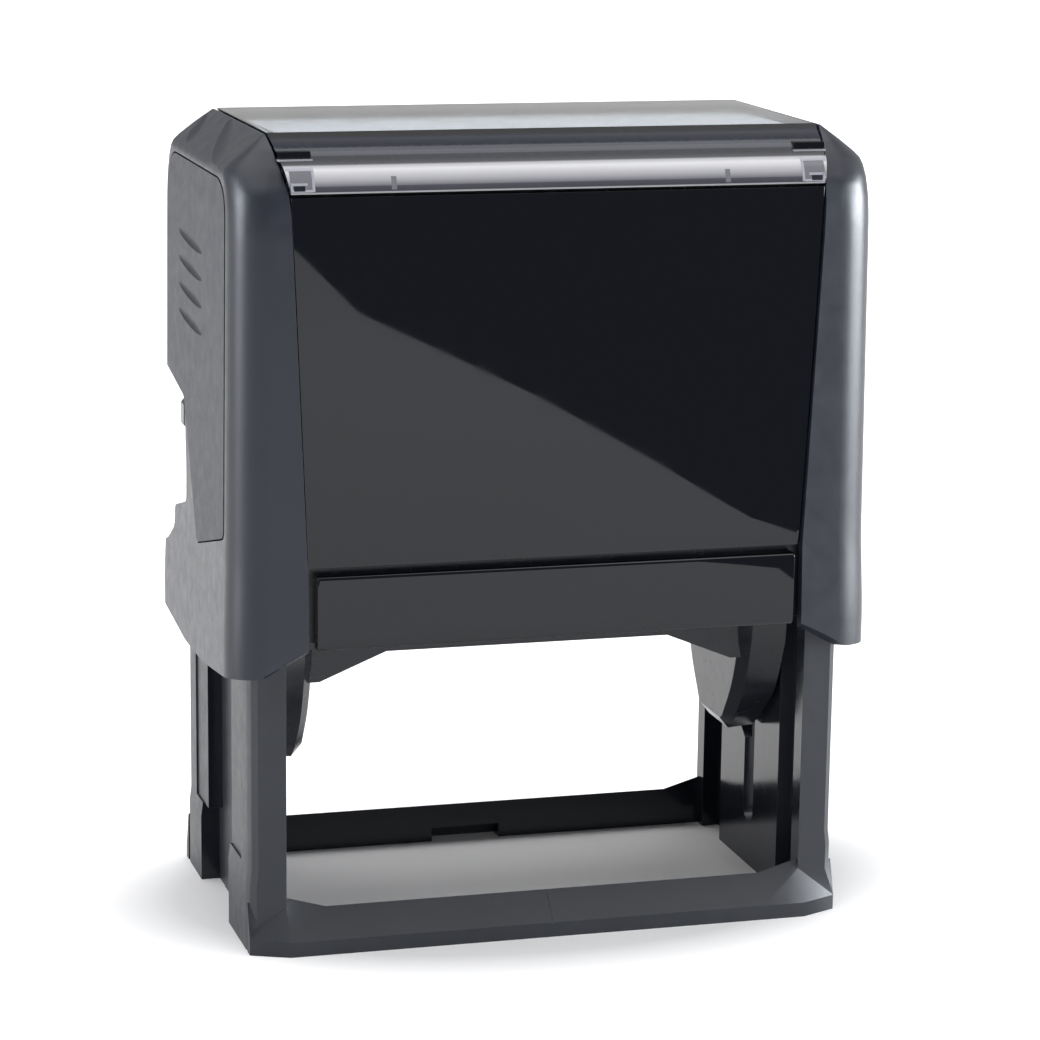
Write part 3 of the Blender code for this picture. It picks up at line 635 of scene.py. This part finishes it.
def on_rim(name, side, sx, end, sy, x_range, z_range, proud, material):
    """A thin patch that follows the cap's curved rim and stands a little proud of it."""
    (x0, x1), (z0, z1), steps = x_range, z_range, 8
    rings = []
    for i in range(steps + 1):
        z = z0 + (z1 - z0) * i / steps
        y = along(RIM_CURVE, z)
        out, back = min(y + proud, 28.4), y - 0.25
        rings.append([(sx * x, sy * v, z) for x, v in ((x0, out), (x1, out), (x1, back), (x0, back))])
    piece = loft(f"{end}_{side}_{name}", rings)
    dress(soften(piece, 0, sharp=50), "index_window", material, replaces=False)


def slot_bar(name, side, sx, end, sy, outline, y_range, material):
    """A small bar set in the cap's slope: its outline in X and Z is extruded along Y."""
    low, high = sorted(sy * y for y in y_range)
    bar = prism(f"{end}_{side}_{name}", "Y", [(sx * x, z) for x, z in outline], low, high)
    dress(soften(bar, 0.06, 2, 40), "index_window", material, replaces=False)


def clip(side, sx, end, sy):
    """A corner clip of the cap: a tab with painted highlights on its edges and a small catch hole, below
    a dark slot.
    """
    where = (side, sx, end, sy)
    # the bright patches on the tab's edges are painted highlights
    on_rim("cap_clip_edge", *where, (38.1, 38.5), (118.2, 121.6), 0.07, painted_highlight_edge)
    on_rim("cap_clip_foot", *where, (38.5, 41.75), (118.15, 118.5), 0.06, painted_highlight_edge)
    on_rim("cap_clip_top", *where, (38.5, 42.3), (121.15, 121.5), 0.06, painted_highlight_edge)
    on_rim("cap_clip_rib", *where, (39.2, 41.6), (119.1, 119.45), 0.06, painted_highlight_edge)
    on_rim("cap_clip_hole", *where, (39.6, 41.3), (118.3, 119.05), 0.08, inner_plastic)
    on_rim("cap_clip_side", *where, (41.45, 41.75), (118.4, 119.5), 0.06, painted_highlight_edge)
    # a grey mark on the rim, then painted shade over the clip's tab
    on_rim("cap_mark", *where, (25.7, 26.5), (118.3, 120.2), 0.02, grey_mark_and_painted_shade)
    on_rim("cap_clip_shade", *where, (38.5, 41.8), (118.2, 121.4), 0.03, grey_mark_and_painted_shade)
    # the slot's dark opening is painted shade: a gloss black bar set in the slope
    slot = [(37.9, 122.75), (42.9, 122.75), (43.0, 123.7), (37.9, 123.7)]
    slot_bar("cap_slot", *where, slot, (23.0, 24.45), black)
    lip = [(37.7, 122.3), (43.0, 122.3), (43.0, 122.6), (37.7, 122.6)]
    # the slot's lip carries a painted highlight
    slot_bar("cap_slot_lip", *where, lip, (23.4, 24.9), painted_highlight_edge)


# Half a section of a cheek, in Y and Z, at each of three distances from the middle.
CHEEK = [
    (35.28, [(13.6, 48.0), (12.9, 42.4), (10.2, 34.5), (5.8, 27.7), (4.6, 27.2)]),
    (36.8, [(15.6, 48.0), (14.9, 42.4), (12.2, 34.2), (7.5, 27.5), (4.7, 25.3)]),
    (41.72, [(18.0, 48.0), (17.3, 42.4), (13.4, 34.0), (7.2, 28.2), (3.4, 25.3)]),
]


def curved(points, steps=7):
    """A smooth curve through points: Catmull-Rom, with its ends carried straight on."""
    points = [Vector(point) for point in points]
    ends = [2 * points[0] - points[1], *points, 2 * points[-1] - points[-2]]
    curve = []
    for a, b, c, d in zip(ends, ends[1:], ends[2:], ends[3:]):
        for i in range(steps):
            t = i / steps
            blend = 2 * b + (c - a) * t + (2 * a - 5 * b + 4 * c - d) * t * t
            curve.append(tuple((blend + (3 * b - a - 3 * c + d) * t**3) / 2))
    return curve + [tuple(points[-1])]


def cheek_skins():
    """Skins over the carrier's faceted cheeks, which curve smoothly along their edges."""
    for side, sx in SIDES.items():
        rings = []
        for x, half in CHEEK:
            rings.append([(sx * x, y, z) for y, z in both_ways(curved(half[:4]) + half[4:])])
        skin = loft(f"{side}_cheek_skin", rings)
        dress(soften(skin, 0.2, 3, 50, sharp=24), "carrier_frame", inner_plastic, replaces=False)


def roof_ridges():
    """Two dark ridges beside the label card, seen through the cap."""
    reach = 18.4
    for side, sx in SIDES.items():
        for i, (x0, x1) in enumerate(((41.35, 41.75), (42.35, 42.9))):
            low, high = sorted((sx * x0, sx * x1))
            outline = [(low, -reach), (high, -reach), (high, reach), (low, reach)]
            ridge = prism(f"{side}_roof_ridge_{i}", "Z", outline, 122.95, 124.2)
            dress(soften(ridge, 0.1, 2, 40), "housing_core", inner_plastic, replaces=False)


WIRE_R, SPRING_TURNS, DEAD_TURNS = 0.45, 10.0, 1.0
DEAD_PITCH = 2.1 * WIRE_R


def make_springs():
    """Coil springs with closed ends, which shorten with the press between the bridge and the roof."""
    per_turn, sides = 40, 10
    for side in SIDES:
        low, high = (Vector(corner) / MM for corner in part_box(f"{side}_return_spring"))
        radius = (high.y - low.y) / 2 - WIRE_R
        middle = (low.x + high.x) / 2
        open_height = high.z - low.z - 2 * WIRE_R - 2 * DEAD_PITCH
        rings = []
        for i in range(int(SPRING_TURNS * per_turn) + 1):
            turn = i / per_turn
            share = min(max((turn - DEAD_TURNS) / (SPRING_TURNS - 2 * DEAD_TURNS), 0), 1)
            dead = min(turn, DEAD_TURNS) + max(turn - SPRING_TURNS + DEAD_TURNS, 0)
            z = low.z + WIRE_R + DEAD_PITCH * dead / DEAD_TURNS + share * open_height
            out = Vector((math.cos(2 * math.pi * turn), math.sin(2 * math.pi * turn), 0))
            centre = Vector((middle, 0, z)) + out * radius
            ring = []
            for k in range(sides):
                bend = 2 * math.pi * k / sides
                offset = math.cos(bend) * out + math.sin(bend) * Vector((0, 0, 1))
                ring.append(centre + WIRE_R * offset)
            rings.append(ring)
        piece = loft(f"{side}_spring_coil", rings)
        dress(soften(piece, 0), f"{side}_return_spring", spring_steel)
        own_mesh(piece)


def soft_block(node, material, crown, corner):
    """A padded block: rounded in plan, crowned on top, and drawn in between its corners."""
    low, high = (Vector(point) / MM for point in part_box(node))
    centre, half = (low + high) / 2, (high - low) / 2
    work = bmesh.new()
    bmesh.ops.create_cube(work, size=2.0)
    for axis, cuts in enumerate((48, 28, 6)):
        edges = [e for e in work.edges if abs((e.verts[0].co - e.verts[1].co)[axis]) > 1.9]
        bmesh.ops.subdivide_edges(work, edges=edges, cuts=cuts - 1, use_grid_fill=True)
    for vertex in work.verts:
        u, v, w = vertex.co
        draw = 0.35 * ((1 - u * u) * abs(v) ** 8 + (1 - v * v) * abs(u) ** 8)
        edge = max(abs(u), abs(v)) ** 16 * abs(w) ** 2 * corner
        x = u * (half.x - edge - (draw if abs(u) > abs(v) * half.y / half.x else 0))
        y = v * (half.y - edge - draw)
        cut = corner * (abs(u) ** 40 * abs(v) ** 24)
        z = w * (half.z - crown * (1 - (1 - abs(u) ** 6) * (1 - abs(v) ** 6)))
        vertex.co = (centre + Vector((x * (1 - cut / half.x), y * (1 - cut / half.y), z))) * MM
    mesh = bpy.data.meshes.new(f"{node}_soft")
    work.to_mesh(mesh)
    work.free()
    piece = bpy.data.objects.new(f"{node}_soft", mesh)
    bpy.context.scene.collection.objects.link(piece)
    dress(soften(piece, 0), node, material)


# --- studio ----------------------------------------------------------------------------------


def make_camera():
    """The camera at the photograph's angle, rolled by a fraction of a degree."""
    a, e, r = (math.radians(v) for v in (CAMERA_AZIMUTH, CAMERA_ELEVATION, CAMERA_ROLL))
    back = Vector((math.sin(a) * math.cos(e), -math.cos(a) * math.cos(e), math.sin(e)))
    right = Vector((math.cos(a), math.sin(a), 0))
    up = back.cross(right)
    right, up = math.cos(r) * right + math.sin(r) * up, math.cos(r) * up - math.sin(r) * right
    data = bpy.data.cameras.new("camera")
    data.lens, data.sensor_width = CAMERA_LENS, SENSOR_WIDTH
    data.shift_x, data.shift_y = CAMERA_SHIFT
    data.clip_start, data.clip_end = 0.01, 20.0
    camera = bpy.data.objects.new("camera", data)
    axes = Matrix((right, up, back)).transposed().to_4x4()
    camera.matrix_world = Matrix.Translation(Vector(CAMERA_TARGET) + back * CAMERA_DISTANCE) @ axes
    bpy.context.scene.collection.objects.link(camera)
    bpy.context.scene.camera = camera


def staged(name, corners, faces, material):
    """Part of the studio, which isn't part of the stamp."""
    mesh = bpy.data.meshes.new(name)
    mesh.from_pydata(corners, [], faces)
    made = bpy.data.objects.new(name, mesh)
    bpy.context.scene.collection.objects.link(made)
    made.data.materials.append(material)
    return made


FLOOR_REACH = 3.0
FOOTPRINT = (0.055, 0.036)  # half-width and half-depth of the floor that stays unlit round the stamp


def make_floor():
    """A pale sweep, lit from within away from the stamp, so that only contact shadows show."""
    n = Nodes("pale_floor")
    tone = n.spread(n.noise(0.02, 2.0), 0, 1)
    n.link(n.mix(tone, (0.88, 0.88, 0.89), (0.90, 0.90, 0.91)), "Base Color")
    shrunk = n.add("ShaderNodeVectorMath", Vector=n.where)
    shrunk.operation = "MULTIPLY"
    shrunk.inputs[1].default_value = (1 / FOOTPRINT[0], 1 / FOOTPRINT[1], 0.0)
    away = n.add("ShaderNodeVectorMath", Vector=shrunk.outputs["Vector"])
    away.operation = "LENGTH"
    glow = n.add("ShaderNodeMath", Value=n.spread(away.outputs["Value"], 0.0, 0.42, 0.98, 1.35))
    n.tree.links.new(n.spread(away.outputs["Value"], 0.0, 0.35, 3.0, 16.0), glow.inputs[1])
    n.link(glow.outputs[0], "Emission Strength")
    n.set(Roughness=0.75, Emission_Color=(1.0, 1.0, 1.0, 1.0))
    corners = [(FLOOR_REACH * x, FLOOR_REACH * y, 0) for x, y in ((-1, -1), (1, -1), (1, 1), (-1, 1))]
    staged("floor", corners, [range(4)], n.material)


FLAG_HEIGHT = 1.2
FLAG_FOOT = [(0.1203, -0.19), (0.1233, -0.26), (0.1258, -0.313), (0.1278, -0.365), (0.1296, -0.48)]
FLAG_FOOT += [(0.1272, -0.64), (0.1268, -0.733), (0.10, -1.3), (0.02, -2.4)]


def make_flag():
    """A dark card to the right of the camera, which only reflections see, as in a product studio."""
    n = Nodes("flag_blue_black")
    n.set(Base_Color=(0.0, 0.0, 0.0, 1.0), Roughness=1.0, Specular_IOR_Level=0.0)
    n.set(Emission_Color=(0.24, 0.27, 0.32, 1.0), Emission_Strength=1.0)
    corners = [(x, y, z) for x, y in FLAG_FOOT for z in (0.0, FLAG_HEIGHT)]
    faces = [(i, i + 2, i + 3, i + 1) for i in range(0, len(corners) - 2, 2)]
    flag = staged("dark_flag", corners, faces, n.material)
    flag.visible_camera = False
    flag.visible_diffuse = False
    flag.visible_shadow = False


def area_light(name, place, aim, size, power, colour=(1, 1, 1)):
    """A rectangular light at a place, turned to face its aim."""
    data = bpy.data.lights.new(name, "AREA")
    data.shape, data.size, data.size_y = "RECTANGLE", size[0], size[1]
    data.energy, data.color = power, colour
    light = bpy.data.objects.new(name, data)
    light.location = Vector(place)
    light.rotation_euler = (Vector(aim) - Vector(place)).to_track_quat("-Z", "Y").to_euler()
    bpy.context.scene.collection.objects.link(light)
    return light


COOL = (0.90, 0.95, 1.0)
# Each direction's axis, sign and brightness.
SKY = [("X", -1, 1.10), ("X", 1, 0.95), ("Y", 1, 0.50), ("Y", -1, 0.32), ("Z", 1, 0.42)]


def make_light():
    """A white backdrop for the camera, and for the rest a studio that is brightest on the left."""
    world = bpy.data.worlds.new("studio")
    bpy.context.scene.world = world
    world.use_nodes = True
    tree = world.node_tree
    tree.nodes.clear()
    way = tree.nodes.new("ShaderNodeSeparateXYZ")
    tree.links.new(tree.nodes.new("ShaderNodeTexCoord").outputs["Generated"], way.inputs[0])
    total = None
    for axis, sign, brightness in SKY:
        facing = tree.nodes.new("ShaderNodeMath")
        facing.operation, facing.use_clamp = "MULTIPLY", True
        facing.inputs[1].default_value = sign
        tree.links.new(way.outputs[axis], facing.inputs[0])
        share = tree.nodes.new("ShaderNodeMath")
        share.operation = "POWER"
        share.inputs[1].default_value = 2.0
        tree.links.new(facing.outputs[0], share.inputs[0])
        part = tree.nodes.new("ShaderNodeMath")
        part.operation = "MULTIPLY_ADD"
        part.inputs[1].default_value = brightness
        tree.links.new(share.outputs[0], part.inputs[0])
        part.inputs[2].default_value = 0.0
        if total is not None:
            tree.links.new(total, part.inputs[2])
        total = part.outputs[0]
    studio = tree.nodes.new("ShaderNodeBackground")
    tree.links.new(total, studio.inputs["Strength"])
    backdrop = tree.nodes.new("ShaderNodeBackground")
    chosen = tree.nodes.new("ShaderNodeMixShader")
    tree.links.new(tree.nodes.new("ShaderNodeLightPath").outputs["Is Camera Ray"], chosen.inputs[0])
    tree.links.new(studio.outputs[0], chosen.inputs[1])
    tree.links.new(backdrop.outputs[0], chosen.inputs[2])
    tree.links.new(chosen.outputs[0], tree.nodes.new("ShaderNodeOutputWorld").inputs["Surface"])
    for background in (studio, backdrop):
        background.inputs["Color"].default_value = (1.0, 1.0, 1.0, 1.0)
    area_light("overhead_softbox", (-0.05, 0.0, 1.3), (0, 0, 0), (1.6, 1.6), 17.0)
    left = area_light("left_strip", (-0.85, -0.06, 0.33), (0, 0, 0.10), (0.34, 0.64), 11.5, COOL)
    right = area_light("right_strip", (0.70, -0.28, 0.22), (0, 0, 0.08), (0.60, 0.40), 28.0, COOL)
    for strip in (left, right):
        strip.visible_diffuse = False  # the strips only make highlights
    bpy.context.scene.view_settings.view_transform = "Standard"


# --- the stamp -------------------------------------------------------------------------------

make_camera()
make_floor()
make_flag()
make_light()

BASE_GREY = (0.015, 0.018, 0.025)
INNER_GREY = (0.008, 0.010, 0.015)
SHELL_GREY = (0.012, 0.015, 0.025)

base_plastic = moulded_plastic("base_plastic", BASE_GREY, 0.42)
# a darker, glossier copy of the base plastic for faces inside the window; its darker colour is painted
# shade
base_inside = moulded_plastic("base_inside", INNER_GREY, 0.15, 0.8, 0.002, 0.15)
inner_plastic = moulded_plastic("inner_plastic", INNER_GREY, 0.24, 0.8, 0.004, 0.15)
shell_plastic = moulded_plastic("shell_plastic", SHELL_GREY, 0.36)
grip_plastic = moulded_plastic("grip_plastic", SHELL_GREY, 0.50, 0.35, 0.016)
black = gloss_black("gloss_black")
clear = clear_plastic("clear_plastic")
# the cap rim's colour bands: painted highlights, internal reflections and shade
rim_painted_light = painted_cap_plastic("rim_painted_light", CAP_PAINTED_LIGHT_BANDS)
# painted highlights on the cap clips' edges and the slot lips
painted_highlight_edge = painted_cap_plastic("painted_highlight_edge", [(117.8, (0.36, 0.36, 0.42)), (126.0, (0.36, 0.36, 0.40))])
# a grey rim mark, and the painted shade over the clip tabs
grey_mark_and_painted_shade = painted_cap_plastic("grey_mark_and_painted_shade", [(117.8, (0.16, 0.16, 0.18)), (126.0, (0.20, 0.20, 0.22))])
label = card("label_card", (0.90, 0.93, 0.93))
spring_steel = steel("spring_steel")
ink = felt("ink_felt", (0.010, 0.012, 0.030))
foam = felt("die_foam", (0.05, 0.05, 0.055))
die = rubber("die_rubber", (0.23, 0.045, 0.035))

# What each material slot's nodes are made of, and the radius of their edges in millimetres.
FINISH = {
    "base_plastic": (base_plastic, 0.3),
    "inner_plastic": (inner_plastic, 0.25),
    "label_card": (label, 0.0),
    "spring_steel": (spring_steel, 0.15),
    "die_rubber": (die, 0.15),
}
for side, sx in SIDES.items():
    make_shell(side, sx)
    make_grip(side, sx)
make_panels()
make_window()
roof_ridges()
cheek_skins()
make_springs()
soft_block("ink_pad", ink, 0.5, 0.8)
soft_block("die_cushion", foam, 0.12, 0.4)

# The nodes that the pieces above stand for, by the ends of their names.
OWN_MESH = ("_shell", "_grip", "_panel", "_band", "_spring", "index_window", "ink_pad", "die_cushion")
for node in frame["nodes"]:
    if not node.endswith(OWN_MESH):
        refined(node, *FINISH[slot_of(node)])
